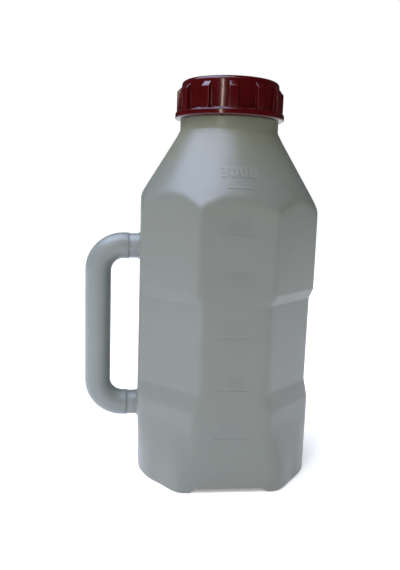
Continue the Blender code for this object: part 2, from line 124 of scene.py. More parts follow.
def mesh_from_rows(name, rows, closed_ring=False):
    """A skin over rows of points that all go once round, joined in order.

    A row of one point closes the skin. closed_ring joins the last row to the first."""
    bm = bmesh.new()
    made = [[bm.verts.new(point) for point in row] for row in rows]
    pairs = list(zip(made, made[1:]))
    if closed_ring:
        pairs.append((made[-1], made[0]))
    for upper, lower in pairs:
        count = max(len(upper), len(lower))
        for i in range(count):
            j = (i + 1) % count
            corners = [upper[i % len(upper)], lower[i % len(lower)]]
            if len(lower) > 1:
                corners.append(lower[j])
            if len(upper) > 1:
                corners.append(upper[j])
            bm.faces.new(corners)
    bmesh.ops.recalc_face_normals(bm, faces=bm.faces)
    mesh = bpy.data.meshes.new(name)
    bm.to_mesh(mesh)
    bm.free()
    return mesh


def turned(name, profile, centre_x=0.0, steps=128, closed_ring=True):
    """Turns (radius, height) points about an upright axis; radius 0 is a pole."""
    rows = []
    for radius, height in profile:
        if radius == 0:
            rows.append([at(centre_x, 0, height)])
            continue
        row = []
        for i in range(steps):
            angle = math.tau * i / steps
            x = centre_x + radius * math.cos(angle)
            row.append(at(x, radius * math.sin(angle), height))
        rows.append(row)
    return mesh_from_rows(name, rows, closed_ring)


def rounded(points, radii, count=5):
    """A profile whose corners are arcs; radii gives one radius for each point."""
    out = []
    total = len(points)
    for i, (point, radius) in enumerate(zip(points, radii)):
        here = Vector(point)
        before = Vector(points[i - 1])
        after = Vector(points[(i + 1) % total])
        if radius == 0:
            out.append(tuple(here))
            continue
        to_before = (before - here).normalized()
        to_after = (after - here).normalized()
        half = to_before.angle(to_after) / 2
        reach = radius / math.tan(half)
        first = here + to_before * reach
        last = here + to_after * reach
        centre = here + (to_before + to_after).normalized() * (radius / math.sin(half))
        for k in range(count + 1):
            spoke = (first - centre).lerp(last - centre, k / count)
            out.append(tuple(centre + spoke.normalized() * radius))
    return out


# Materials -------------------------------------------------

def add_node(tree, kind, settings=None, inputs=None, links=None):
    """Adds a node, sets its properties and socket values, and links its inputs."""
    node = tree.nodes.new(kind)
    for key, value in (settings or {}).items():
        setattr(node, key, value)
    for key, value in (inputs or {}).items():
        node.inputs[key].default_value = value
    for key, socket in (links or {}).items():
        tree.links.new(socket, node.inputs[key])
    return node


def start_material(name):
    """An empty Principled material, with object coordinates turned to millimetres."""
    material = bpy.data.materials.new(name)
    material.use_nodes = True
    tree = material.node_tree
    shader = tree.nodes["Principled BSDF"]
    coordinates = add_node(tree, "ShaderNodeTexCoord")
    scale = add_node(
        tree, "ShaderNodeVectorMath", {"operation": "SCALE"}, {"Scale": 1000.0},
        {0: coordinates.outputs["Object"]},
    )
    return material, tree, shader, scale.outputs[0]


def set_shader(shader, **values):
    """Sets sockets of the shader; Coat_Weight stands for the socket Coat Weight."""
    for key, value in values.items():
        shader.inputs[key.replace("_", " ")].default_value = value


def shade(colour, factor):
    """A lighter or darker linear colour."""
    return [min(channel * factor, 1.0) for channel in colour]


def mottled(tree, mm, spread_mm, first, second):
    """A colour that drifts between two tones in patches about spread_mm across."""
    patches = add_node(
        tree, "ShaderNodeTexNoise", None, {"Scale": 1 / spread_mm, "Detail": 3.0}, {"Vector": mm}
    )
    return add_node(
        tree, "ShaderNodeMix", {"data_type": "RGBA"}, {6: (*first, 1.0), 7: (*second, 1.0)},
        {"Factor": patches.outputs["Fac"]},
    ).outputs[2]


def uneven_gloss(tree, shader, mm, spread_mm, low, high):
    """Roughness that wanders between two values in patches about spread_mm across."""
    patches = add_node(
        tree, "ShaderNodeTexNoise", None, {"Scale": 1 / spread_mm, "Detail": 4.0, "Roughness": 0.6},
        {"Vector": mm},
    )
    limits = {"To Min": low, "To Max": high}
    gloss = add_node(tree, "ShaderNodeMapRange", None, limits, {"Value": patches.outputs["Fac"]})
    tree.links.new(gloss.outputs["Result"], shader.inputs["Roughness"])


def skin_relief(tree, shader, mm, layers):
    """Layers of bump, each given as (spread in mm, height in mm, strength)."""
    below = None
    for spread_mm, height_mm, strength in layers:
        patches = add_node(
            tree, "ShaderNodeTexNoise", None, {"Scale": 1 / spread_mm, "Detail": 2.0}, {"Vector": mm}
        )
        links = {"Height": patches.outputs["Fac"]}
        if below is not None:
            links["Normal"] = below
        amounts = {"Strength": strength, "Distance": height_mm * MM}
        below = add_node(tree, "ShaderNodeBump", None, amounts, links).outputs["Normal"]
    tree.links.new(below, shader.inputs["Normal"])


def start_hdpe(name, colour):
    """Natural high-density polyethylene, blow-moulded: a milky grey-green wall with a
    soft sheen, the faint orange peel of the mould's sand-blasted face, and slow changes
    of tone where the wall is thicker."""
    material, tree, shader, mm = start_material(name)
    set_shader(
        shader, IOR=1.54, Subsurface_Weight=0.35, Subsurface_Radius=(0.9, 1.0, 0.85),
        Subsurface_Scale=0.006,
    )
    uneven_gloss(tree, shader, mm, 9.0, 0.30, 0.44)
    skin_relief(tree, shader, mm, ((22.0, 0.5, 0.5), (1.1, 0.03, 0.5)))
    wall = mottled(tree, mm, 46.0, colour, shade(colour, 0.92))
    tree.links.new(wall, shader.inputs["Base Color"])
    return material, tree, shader, mm, wall


NECK_SHADE_LOW = 236.0               # the painted neck shade fades in between these heights
NECK_SHADE_HIGH = 280.0
NECK_SHADE_WANDER = 26.0
NECK_SHADE_MOST = 0.8


def hdpe_bottle_wall(look):
    """The bottle's wall. A darker olive tone is painted on the neck and the top of the shoulder,
    with a wandering edge: painted shade under the screw ring, also standing in for the amber teat seen
    through the wall."""
    material, tree, shader, mm, wall = start_hdpe("HDPE bottle wall, painted neck shade", look.wall_colour)
    height = add_node(tree, "ShaderNodeSeparateXYZ", links={0: mm})
    wander = add_node(
        tree, "ShaderNodeTexNoise", None, {"Scale": 1 / 30.0, "Detail": 2.0}, {"Vector": mm}
    )
    edge = add_node(
        tree, "ShaderNodeMath", {"operation": "MULTIPLY_ADD"}, {1: NECK_SHADE_WANDER},
        {0: wander.outputs["Fac"], 2: height.outputs["Z"]},
    )
    # painted shade: from these heights up, the wall colour is mixed towards the darker neck shade tint
    shade_share = add_node(
        tree, "ShaderNodeMapRange", {"interpolation_type": "SMOOTHSTEP"},
        {"From Min": NECK_SHADE_LOW, "From Max": NECK_SHADE_HIGH, "To Min": 0.0, "To Max": NECK_SHADE_MOST},
        {"Value": edge.outputs[0]},
    )
    shaded = add_node(
        tree, "ShaderNodeMix", {"data_type": "RGBA"}, {7: (*look.teat_tint, 1.0)},
        {"Factor": shade_share.outputs["Result"], 6: wall},
    )
    tree.links.new(shaded.outputs[2], shader.inputs["Base Color"])
    return material


def hdpe_handle_tube(look):
    """The handle's thin hollow tube, which lets more light through than the bottle."""
    return start_hdpe("HDPE natural handle tube", look.handle_colour)[0]


def hdpe_raised_number(look):
    """The shoulder's number and line stand proud and thicker. They are painted a little paler than the
    wall: a painted highlight for the light the raised strokes catch.
    """
    # painted highlight: the wall colour made paler
    return start_hdpe("HDPE raised number, painted highlight", shade(look.wall_colour, 1.12))[0]


def pp_injection_moulded(look):
    """Deep red polypropylene, injection-moulded against polished steel: glossy, with
    faint flow marks and fine handling scratches."""
    material, tree, shader, mm = start_material("PP red injection-moulded")
    set_shader(shader, IOR=1.49, Specular_IOR_Level=0.4, Coat_Weight=0.05, Coat_Roughness=0.08)
    red = mottled(tree, mm, 14.0, look.ring_colour, shade(look.ring_colour, 1.9))
    tree.links.new(red, shader.inputs["Base Color"])
    uneven_gloss(tree, shader, mm, 2.5, 0.09, 0.22)
    skin_relief(tree, shader, mm, ((7.0, 0.12, 0.5), (0.7, 0.01, 0.4)))
    return material


def natural_rubber(look):
    """Amber natural rubber, dip-moulded: a little see-through, with a dull bloom."""
    material, tree, shader, mm = start_material("Natural rubber amber")
    set_shader(
        shader, IOR=1.52, Subsurface_Weight=0.4, Subsurface_Radius=(1.0, 0.5, 0.2),
        Subsurface_Scale=0.004,
    )
    amber = mottled(tree, mm, 8.0, look.rubber_colour, look.bloom_colour)
    tree.links.new(amber, shader.inputs["Base Color"])
    uneven_gloss(tree, shader, mm, 3.0, 0.42, 0.62)
    skin_relief(tree, shader, mm, ((0.9, 0.04, 0.5),))
    return material


def silicone_seal(look):
    """White silicone, compression-moulded: matt and slightly soft to light."""
    material, tree, shader, mm = start_material("Silicone white")
    set_shader(shader, IOR=1.41, Subsurface_Weight=0.3, Subsurface_Scale=0.002)
    white = mottled(tree, mm, 6.0, look.seal_colour, shade(look.seal_colour, 1.12))
    tree.links.new(white, shader.inputs["Base Color"])
    uneven_gloss(tree, shader, mm, 1.5, 0.45, 0.6)
    skin_relief(tree, shader, mm, ((0.5, 0.01, 0.4),))
    return material


def acetal_turned(look):
    """White acetal for the air valve: hard and waxy, with a satin gloss."""
    material, tree, shader, mm = start_material("Acetal white")
    set_shader(shader, IOR=1.48)
    white = mottled(tree, mm, 4.0, look.valve_colour, shade(look.valve_colour, 1.12))
    tree.links.new(white, shader.inputs["Base Color"])
    uneven_gloss(tree, shader, mm, 0.8, 0.28, 0.4)
    skin_relief(tree, shader, mm, ((0.4, 0.006, 0.4),))
    return material


def stainless_ball(look):
    """Polished stainless steel bearing ball, with the faintest tumbling haze."""
    material, tree, shader, mm = start_material("Stainless steel polished")
    set_shader(shader, Metallic=1.0)
    steel = mottled(tree, mm, 1.2, look.ball_colour, shade(look.ball_colour, 1.15))
    tree.links.new(steel, shader.inputs["Base Color"])
    uneven_gloss(tree, shader, mm, 0.5, 0.08, 0.2)
    return material


def studio_paper(look):
    """Pale backdrop paper, matt with a faint fibre tooth. It is lit a little from
    beneath, as on a light table, so that it meets the white backdrop without a line."""
    material, tree, shader, mm = start_material("Backdrop paper pale")
    set_shader(
        shader, Roughness=0.9, Specular_IOR_Level=0.0, Emission_Color=(1.0, 1.0, 1.0, 1.0),
        Emission_Strength=0.2,
    )
    paper = mottled(tree, mm, 60.0, look.floor_colour, shade(look.floor_colour, 1.02))
    tree.links.new(paper, shader.inputs["Base Color"])
    skin_relief(tree, shader, mm, ((1.5, 0.02, 0.3),))
    return material


MATERIALS = {}


def material_for(maker):
    """Each material is made once and shared."""
    if maker.__name__ not in MATERIALS:
        MATERIALS[maker.__name__] = maker(bpy.context.scene.feeding_bottle)
    return MATERIALS[maker.__name__]


# Settings --------------------------------------------------

class BottleSettings(bpy.types.PropertyGroup):
    """The sizes and colours that a user would change"""

    corner_top: FloatProperty(
        name="Upper corner radius", description="Axis to corner at the shoulder",
        default=0.0726, unit="LENGTH", precision=4
    )
    corner_low: FloatProperty(
        name="Lower corner radius", description="Axis to corner above the feet",
        default=0.0734, unit="LENGTH", precision=4
    )
    shoulder_z: FloatProperty(
        name="Shoulder height", description="Where the cone meets the corners",
        default=0.207, unit="LENGTH", precision=4
    )
    cone_slope: FloatProperty(
        name="Cone slope", description="Radius lost for each unit of height", default=0.61
    )
    collar_radius: FloatProperty(
        name="Collar radius", description="Plain neck under the ring",
        default=0.0378, unit="LENGTH", precision=4
    )
    collar_base: FloatProperty(
        name="Collar base", description="Height where the cone ends",
        default=0.2634, unit="LENGTH", precision=4
    )
    waist_depth: FloatProperty(
        name="Waist depth", description="Depth of the grip waist",
        default=0.0028, unit="LENGTH", precision=4
    )
    wall: FloatProperty(
        name="Wall", description="Thickness of the bottle's wall",
        default=0.0022, unit="LENGTH", precision=4
    )
    thread_pitch: FloatProperty(
        name="Thread pitch", description="Rise of the screw thread for one turn",
        default=0.006, unit="LENGTH", precision=4
    )
    columns: IntProperty(name="Columns", description="Points round the bottle", default=400)
    rib_count: IntProperty(name="Ribs", description="Grip ribs on the screw ring", default=12)
    wall_colour: FloatVectorProperty(
        name="Bottle", description="Natural polyethylene of the bottle",
        default=linear("#696c63"), subtype="COLOR"
    )
    # painted shade: the darker colour laid on the neck and upper shoulder, for the shade under the ring
    # and the teat behind the wall
    teat_tint: FloatVectorProperty(
        name="Neck shade tint", description="Neck: painted shade under the ring, and the teat behind",
        default=linear("#646450"), subtype="COLOR"
    )
    handle_colour: FloatVectorProperty(
        name="Handle", description="Natural polyethylene of the handle",
        default=linear("#707670"), subtype="COLOR"
    )
    ring_colour: FloatVectorProperty(
        name="Screw ring", description="Darker tone of the red ring",
        default=linear("#2d0102"), subtype="COLOR"
    )
    rubber_colour: FloatVectorProperty(
        name="Teat", description="Amber of the rubber teat", default=linear("#a3602c"), subtype="COLOR"
    )
    bloom_colour: FloatVectorProperty(
        name="Teat bloom", description="Paler bloom on the rubber",
        default=linear("#b98a5c"), subtype="COLOR"
    )
    seal_colour: FloatVectorProperty(
        name="Seal", description="White of the silicone seal", default=linear("#d9d8d0"), subtype="COLOR"
    )
    valve_colour: FloatVectorProperty(
        name="Air valve", description="White of the air valve's bush",
        default=linear("#dcdcd4"), subtype="COLOR"
    )
    ball_colour: FloatVectorProperty(
        name="Ball", description="Steel of the valve ball", default=linear("#b9b9b8"), subtype="COLOR"
    )
    floor_colour: FloatVectorProperty(
        name="Floor", description="Pale paper of the floor", default=linear("#f9f9f9"), subtype="COLOR"
    )


def sizes_in_mm():
    """The settings as plain values, with every length in millimetres."""
    settings = bpy.context.scene.feeding_bottle
    values = {}
    for name, rule in settings.bl_rna.properties.items():
        if rule.type in ("FLOAT", "INT") and not rule.is_array:
            value = getattr(settings, name)
            values[name] = value / MM if rule.unit == "LENGTH" else value
    return SimpleNamespace(**values)


# Bottle body -----------------------------------------------

SIDES = 8
FLAT = math.cos(math.pi / SIDES)
CORNER_POWER = 110             # how tightly the corners between the sides are rounded
LOW_CORNER_POWER = 60          # the same near the feet, where the mould is softer
SHOULDER_POWER = 75            # how tightly the cone meets the sides
FOOT_TOP = 17.0
FOOT_CIRCLE = 72.8             # the slanting sides swell to this radius above the feet
FOOT_POINT = 5.0               # how far the feet stand out of that circle
HANDLE_SIDE_DRAW = 1.6         # how far the handle side draws in towards the feet
SWELL_TOP = 52.0
FACET_TURN = math.radians(10)  # an extra side of the waist, to the right of the scale
FACET_X = 17.5
FINISH_RADIUS = 32.8
MOUTH_RADIUS = 30.4
COLLAR_TOP = 273.2
NOTCH_HEIGHT = 2.6
NOTCH_REACH = 14.0             # the sides stretch up to this height to clear the notch
FOOT_ROUNDING = 1.6
WAIST_TOP = (146.8, 139.4)     # heights where the waist starts and is at full depth
WAIST_BOTTOM = (60.0, 74.0)
FLOOR_INSIDE = 6.2
PUSH_UP_RADIUS = 52.0
PUSH_UP = 3.2


def nearest(distances, power):
    """The smallest of some distances, rounded where two are alike."""
    least = min(distances)
    total = sum((least / distance) ** power for distance in distances)
    return least * total ** (-1 / power)


def sides_radius(faces, angle, power):
    """Radius of a section with flat faces, given as (facing angle, distance) pairs."""
    distances = []
    for facing, distance in faces:
        toward = math.cos(angle - facing)
        if toward > 0.5:
            distances.append(distance / toward)
    return nearest(distances, power)


def side_flat(s, height):
    """Distance from the axis to the middle of a side; the body tapers upwards."""
    share = min(max((height - FOOT_TOP) / (s.shoulder_z - FOOT_TOP), 0), 1)
    return mix(s.corner_low, s.corner_top, share) * FLAT


def slope(low, high, value, ease=0.08):
    """A straight 0 to 1 between two values, eased only at its two ends."""
    share = (value - low) / (high - low)
    if share <= -ease or share >= 1 + ease:
        return float(share > 0.5)
    if share < ease:
        return (share + ease) ** 2 / (4 * ease)
    if share > 1 - ease:
        return 1 - (1 + ease - share) ** 2 / (4 * ease)
    return share


def waist_share(height):
    """How much of the grip waist's depth there is at a height."""
    return slope(*WAIST_TOP, height) * slope(*WAIST_BOTTOM, height)


def handle_side_draw(height):
    return HANDLE_SIDE_DRAW * step(56.0, 5.0, height)


def waist_faces(s, height):
    """The faces of the body: the waist takes the slanting sides and the far side in."""
    flat = side_flat(s, height)
    share = waist_share(height)
    faces = []
    for i in range(SIDES):
        distance = flat - (0 if i in (0, 4, 6) else s.waist_depth * share)
        if i == 6:
            distance -= handle_side_draw(height)
        faces.append((i * math.tau / SIDES, distance))
    clear = 30.0 * math.sin(FACET_TURN) + flat * math.cos(FACET_TURN)
    cut = FACET_X * math.sin(FACET_TURN) + flat * math.cos(FACET_TURN)
    faces.append((FACET_TURN, mix(clear, cut, share)))
    return faces


def foot_radius(s, angle, height):
    """The section above the feet: four flat faces and a circle with four blunt points."""
    flat = side_flat(s, height)
    from_flat = math.degrees(math.acos(min(1.0, abs(math.cos(angle)))))
    circle = FOOT_CIRCLE + FOOT_POINT * step(47.0, 25.0, from_flat)
    if math.sin(angle) < 0:
        circle -= handle_side_draw(height) * step(50.0, 68.0, from_flat)
    foot = HALF_WIDTH - 0.1
    flats = ((0, foot), (math.pi / 2, flat), (math.pi, foot), (-math.pi / 2, flat))
    distances = [circle]
    for facing, distance in flats:
        toward = math.cos(angle - facing)
        if facing < 0:
            distance -= handle_side_draw(height)
        if toward > 0.5:
            distances.append(distance / toward)
    return nearest(distances, LOW_CORNER_POWER)


def cone_radius(s, height):
    return s.collar_radius + s.cone_slope * (s.collar_base - height)


def side_radius(s, angle, height, inset=0.0):
    """Radius of the body's skin, below the neck; inset moves it inwards."""
    power = mix(LOW_CORNER_POWER, CORNER_POWER, step(60.0, 160.0, height))
    radius = sides_radius(waist_faces(s, height), angle, power)
    swell = step(SWELL_TOP, 10.0, height)
    if swell > 0:
        radius = mix(radius, foot_radius(s, angle, height), swell)
    radius -= inset
    cone = cone_radius(s, height) - inset * math.hypot(1, s.cone_slope)
    if cone > radius * 1.25:
        return radius
    return nearest([radius, cone], SHOULDER_POWER)


def around(s, radius_at, height_at):
    """One row of points; both arguments are functions of the angle from the front."""
    row = []
    for i in range(s.columns):
        angle = math.tau * i / s.columns
        radius = radius_at(angle)
        x = radius * math.sin(angle)
        row.append(at(x, -radius * math.cos(angle), height_at(angle)))
    return row


def notch(angle):
    """Raised height of the rim between the feet, at the front and at the back."""
    x = abs(70.0 * math.sin(angle))
    return NOTCH_HEIGHT * step(28.5, 23.5, x)


def levels(first, last, spacing):
    """Heights from first to last, about spacing apart, without the last."""
    count = max(1, round(abs(last - first) / spacing))
    return [mix(first, last, i / count) for i in range(count)]


def body_heights(s):
    """Heights of the outer rows, close together where the shape changes quickly."""
    bands = (
        (s.collar_base, 222.0, 4.0), (222.0, 202.0, 0.8), (202.0, 150.0, 5.0), (150.0, 137.0, 0.6),
        (136.0, 80.0, 6.0), (80.0, 56.0, 1.3), (56.0, 18.0, 2.5), (18.0, FOOT_ROUNDING, 1.4),
    )
    heights = []
    for first, last, spacing in bands:
        heights += levels(first, last, spacing)
    return heights


def outer_rows(s):
    """Rows from the mouth's rim down the outside to the foot."""
    neck = rounded(
        [
            (MOUTH_RADIUS, NECK_TOP), (FINISH_RADIUS, NECK_TOP), (FINISH_RADIUS, COLLAR_TOP),
            (s.collar_radius, COLLAR_TOP), (s.collar_radius, s.collar_base + 1.2),
        ],
        [0, 0.7, 0.8, 1.0, 0],
    )
    rows = [around(s, lambda a, r=r: r, lambda a, z=z: z) for r, z in neck[1:]]
    for height in body_heights(s):
        blend = 0.8 * step(s.collar_base - 6.0, s.collar_base, height)

        def radius_at(angle, z=height, extra=blend):
            return side_radius(s, angle, z) + extra * 0.5

        rows.append(around(s, radius_at, lambda a, z=height: clear_of_notch(a, z)))
    return rows


def clear_of_notch(angle, height):
    """A height near the floor, lifted where the notch is."""
    return height + notch(angle) * max(0.0, 1 - height / NOTCH_REACH)


def foot_rows(s):
    """Rows that round the foot, step over the notches and close the bottom."""
    rows = []
    turns = 9
    for i in range(turns + 1):
        turn = math.pi / 2 * i / turns
        sink = FOOT_ROUNDING * (1 - math.cos(turn))
        lift = FOOT_ROUNDING * (1 - math.sin(turn))

        def radius_at(angle, sink=sink, lift=lift):
            return side_radius(s, angle, max(lift, 0.0)) - sink

        def height_at(angle, lift=lift):
            return clear_of_notch(angle, lift)

        rows.append(around(s, radius_at, height_at))
    for radius, share in ((58.0, 1.0), (PUSH_UP_RADIUS, 1.0), (PUSH_UP_RADIUS - 1.5, 0.9)):
        rows.append(around(s, lambda a, r=radius: r, lambda a, k=share: notch(a) * k))
    for radius, height in ((49.0, 1.2), (47.0, 2.7), (44.0, PUSH_UP), (30.0, 3.4), (12.0, 3.6)):
        rows.append(around(s, lambda a, r=radius: r, lambda a, z=height: max(z, notch(a) * 0.9)))
    rows.append([at(0, 0, 3.6)])
    return rows


def inner_rows(s):
    """Rows from the middle of the floor up the inside to the mouth's rim."""
    rows = [[at(0, 0, FLOOR_INSIDE)]]
    for radius in (12.0, 30.0, 48.0):
        rows.append(around(s, lambda a, r=radius: r, lambda a: FLOOR_INSIDE))
    heights = [7.0, 10.0, 14.0, 20.0, 34.0, 52.0, 60.0, 66.0, 72.0, 80.0, 106.0, 134.0, 139.0]
    heights += [144.0, 150.0, 176.0, 196.0, 201.0, 204.0, 207.0, 210.0, 213.0, 217.0, 224.0, 244.0]
    for height in heights:
        edge = 4.0 * step(16.0, 7.0, height)

        def radius_at(angle, z=height, edge=edge):
            return side_radius(s, angle, z, s.wall) - edge

        rows.append(around(s, radius_at, lambda a, z=height: z))
    inner_collar = s.collar_radius - s.wall - 0.3
    for radius, height in (
        (inner_collar, 262.8), (inner_collar, 267.4), (MOUTH_RADIUS, COLLAR_TOP - 2.2),
        (MOUTH_RADIUS, NECK_TOP - 0.6), (MOUTH_RADIUS + 0.6, NECK_TOP),
    ):
        rows.append(around(s, lambda a, r=radius: r, lambda a, z=height: z))
    return rows


class FEEDINGBOTTLE_OT_body(bpy.types.Operator):
    """Make the blow-moulded bottle with its neck, waist and feet"""

    bl_idname = "feeding_bottle.body"
    bl_label = "Bottle Body"

    def execute(self, context):
        s = sizes_in_mm()
        mesh = mesh_from_rows("bottle_shell", inner_rows(s) + outer_rows(s) + foot_rows(s))
        shell = finish_mesh("bottle_shell", mesh, material_for(hdpe_bottle_wall), 50)
        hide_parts("bottle_body")
        ride_with_slot(shell, "bottle")
        for name, level in zip(("upper_stub", "lower_stub"), handle_levels()):
            stub = finish_mesh(name, stub_mesh(name, level), material_for(hdpe_handle_tube), 50)
            ride_with_slot(stub, "bottle")
        return {"FINISHED"}


# Handle ----------------------------------------------------

TUBE_WALL = 2.0
BEND_RADIUS = 20.0
STUB_RADIUS = 9.7


def handle_levels():
    """Heights of the two arms, at the middle of the tube."""
    return TUBE_HIGH[2] - TUBE_RADIUS, TUBE_LOW[2] + TUBE_RADIUS


def handle_path(spacing):
    """(x, z, turn) along the middle of the tube; turn is its heading in degrees."""
    top, bottom = handle_levels()
    arm_x = TUBE_HIGH[0] - AXIS_X
    grip_x = TUBE_LOW[0] - AXIS_X + TUBE_RADIUS
    bend_x = grip_x + BEND_RADIUS
    bend_steps = 18
    path = [(mix(arm_x, bend_x, share), top, 90.0) for share in (0.0, 0.12, 0.5)]
    for i in range(bend_steps + 1):
        turn = 90.0 + 90.0 * i / bend_steps
        angle = math.radians(turn)
        x = bend_x + BEND_RADIUS * math.cos(angle)
        path.append((x, top - BEND_RADIUS + BEND_RADIUS * math.sin(angle), turn))
    for level in levels(top - BEND_RADIUS, bottom + BEND_RADIUS, spacing)[1:]:
        path.append((grip_x, level, 180.0))
    for i in range(bend_steps + 1):
        turn = 180.0 + 90.0 * i / bend_steps
        angle = math.radians(turn)
        x = bend_x + BEND_RADIUS * math.cos(angle)
        path.append((x, bottom + BEND_RADIUS + BEND_RADIUS * math.sin(angle), turn))
    path += [(mix(arm_x, bend_x, share), bottom, 270.0) for share in (0.5, 0.12, 0.0)]
    return path


def tube_row(x, z, facing, radius, steps=64):
    """A circle of points square to the tube's path."""
    out = Vector((math.cos(math.radians(facing)), 0, math.sin(math.radians(facing))))
    row = []
    for i in range(steps):
        angle = math.tau * i / steps
        offset = out * (radius * math.cos(angle))
        row.append(at(x + offset.x, radius * math.sin(angle), z + offset.z))
    return row


def tube_mesh(name):
    path = handle_path(8.0)
    lip = 0.2
    last = len(path) - 1
    rows = []
    for i, (x, z, turn) in enumerate(path):
        rows.append(tube_row(x, z, turn, TUBE_RADIUS - (lip if i in (0, last) else 0)))
    for i, (x, z, turn) in reversed(list(enumerate(path))):
        inner = TUBE_RADIUS - TUBE_WALL
        rows.append(tube_row(x, z, turn, inner + (lip if i in (0, last) else 0)))
    return mesh_from_rows(name, rows, closed_ring=True)


def stub_mesh(name, level):
    """A moulded stub that flares into the side and stops inside the handle's end."""
    face = TUBE_HIGH[0] - AXIS_X + 0.02
    wall = -(HALF_WIDTH - 3.0)
    profile = [
        (wall, STUB_RADIUS + 3.6), (wall - 0.9, STUB_RADIUS + 2.2), (wall - 1.7, STUB_RADIUS + 1.1),
        (wall - 2.9, STUB_RADIUS + 0.35), (wall - 4.4, STUB_RADIUS), (face + 0.1, STUB_RADIUS),
        (face, STUB_RADIUS - 0.1), (face, TUBE_RADIUS - TUBE_WALL - 0.3),
        (face - 4.0, TUBE_RADIUS - TUBE_WALL - 0.3), (face - 6.5, TUBE_RADIUS - TUBE_WALL - 1.3),
    ]
    rows = [[at(wall + 1.0, 0, level)], tube_row(wall + 1.0, level, 90.0, STUB_RADIUS + 4.0)]
    rows += [tube_row(x, level, 90.0, radius) for x, radius in profile]
    rows.append([at(face - 6.5, 0, level)])
    return mesh_from_rows(name, rows)


class FEEDINGBOTTLE_OT_handle(bpy.types.Operator):
    """Make the bent tube of the handle"""

    bl_idname = "feeding_bottle.handle"
    bl_label = "Handle"

    def execute(self, context):
        mesh = tube_mesh("handle_grip")
        grip = finish_mesh("handle_grip", mesh, material_for(hdpe_handle_tube), 50)
        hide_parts("handle_tube")
        ride_with_slot(grip, "bottle")
        return {"FINISHED"}


# Geometry Nodes --------------------------------------------

def new_tree(name, inputs, geometry_in=True):
    """A geometry node group with a geometry input, named inputs and a geometry output."""
    tree = bpy.data.node_groups.new(name, "GeometryNodeTree")
    face = tree.interface
    if geometry_in:
        face.new_socket("Geometry", in_out="INPUT", socket_type="NodeSocketGeometry")
    for label, kind, value in inputs:
        socket = face.new_socket(label, in_out="INPUT", socket_type=kind)
        if value is not None:
            socket.default_value = value
    face.new_socket("Geometry", in_out="OUTPUT", socket_type="NodeSocketGeometry")
    start = tree.nodes.new("NodeGroupInput")
    end = tree.nodes.new("NodeGroupOutput")
    return tree, start, end


def end_tree(tree, start, end, geometry):
    """Realize Instances and Set Material, and out."""
    real = add_node(tree, "GeometryNodeRealizeInstances", links={"Geometry": geometry})
    finish = add_node(
        tree, "GeometryNodeSetMaterial",
        links={"Geometry": real.outputs[0], "Material": start.outputs["Material"]},
    )
    tree.links.new(finish.outputs[0], end.inputs[0])


def ring_of_copies_tree():
    """Copies of the incoming geometry, evenly spaced round an upright axis."""
    tree, start, end = new_tree(
        "Copies round an axis",
        (
            ("Count", "NodeSocketInt", 12), ("Clocking", "NodeSocketFloat", 0.0),
            ("Material", "NodeSocketMaterial", None),
        ),
    )
    points = add_node(
        tree, "GeometryNodePoints", None, {"Position": (0, 0, 0)}, {"Count": start.outputs["Count"]}
    )
    index = add_node(tree, "GeometryNodeInputIndex")
    share = add_node(
        tree, "ShaderNodeMath", {"operation": "DIVIDE"}, None,
        {0: index.outputs[0], 1: start.outputs["Count"]},
    )
    angle = add_node(
        tree, "ShaderNodeMath", {"operation": "MULTIPLY_ADD"}, {1: math.tau},
        {0: share.outputs[0], 2: start.outputs["Clocking"]},
    )
    turn = add_node(tree, "ShaderNodeCombineXYZ", links={"Z": angle.outputs[0]})
    copies = add_node(
        tree, "GeometryNodeInstanceOnPoints",
        links={
            "Points": points.outputs[0], "Instance": start.outputs["Geometry"],
            "Rotation": turn.outputs[0],
        },
    )
    end_tree(tree, start, end, copies.outputs[0])
    return tree


def thread_tree():
    """A screw thread: a four-sided section swept along a helix, anticlockwise upwards."""
    tree, start, end = new_tree(
        "Screw thread",
        (
            ("Radius", "NodeSocketFloat", 0.034), ("Turns", "NodeSocketFloat", 1.75),
            ("Pitch", "NodeSocketFloat", 0.006), ("Steps", "NodeSocketInt", 160),
            ("Section Width", "NodeSocketFloat", 0.0022), ("Section Height", "NodeSocketFloat", 0.0018),
            ("Material", "NodeSocketMaterial", None),
        ),
        geometry_in=False,
    )
    rise = add_node(
        tree, "ShaderNodeMath", {"operation": "MULTIPLY"}, None,
        {0: start.outputs["Turns"], 1: start.outputs["Pitch"]},
    )
    per_turn = add_node(
        tree, "ShaderNodeMath", {"operation": "DIVIDE"}, None,
        {0: start.outputs["Steps"], 1: start.outputs["Turns"]},
    )
    helix = add_node(
        tree, "GeometryNodeCurveSpiral", None, {"Reverse": True},
        {
            "Resolution": per_turn.outputs[0], "Rotations": start.outputs["Turns"],
            "Start Radius": start.outputs["Radius"], "End Radius": start.outputs["Radius"],
            "Height": rise.outputs[0],
        },
    )
    upright = add_node(
        tree, "GeometryNodeSetCurveNormal", {"mode": "Z_UP"}, None, {"Curve": helix.outputs[0]}
    )
    section = add_node(
        tree, "GeometryNodeCurvePrimitiveQuadrilateral", None, None,
        {"Width": start.outputs["Section Height"], "Height": start.outputs["Section Width"]},
    )
    sweep = add_node(
        tree, "GeometryNodeCurveToMesh", None, {"Fill Caps": True},
        {"Curve": upright.outputs[0], "Profile Curve": section.outputs[0]},
    )
    end_tree(tree, start, end, sweep.outputs[0])
    return tree


def run_tree(obj, tree, values):
    """Evaluates a tree on obj and returns the result as a plain mesh."""
    modifier = obj.modifiers.new(tree.name, "NODES")
    modifier.node_group = tree
    for item in tree.interface.items_tree:
        if item.in_out == "INPUT" and item.name in values:
            modifier[item.identifier] = values[item.name]
    bpy.context.view_layer.update()
    evaluated = obj.evaluated_get(bpy.context.evaluated_depsgraph_get())
    mesh = bpy.data.meshes.new_from_object(evaluated)
    obj.modifiers.remove(modifier)
    bpy.data.objects.remove(obj, do_unlink=True)
    return mesh


def helper_object(name, mesh):
    obj = bpy.data.objects.new(name, mesh)
    bpy.context.scene.collection.objects.link(obj)
    return obj


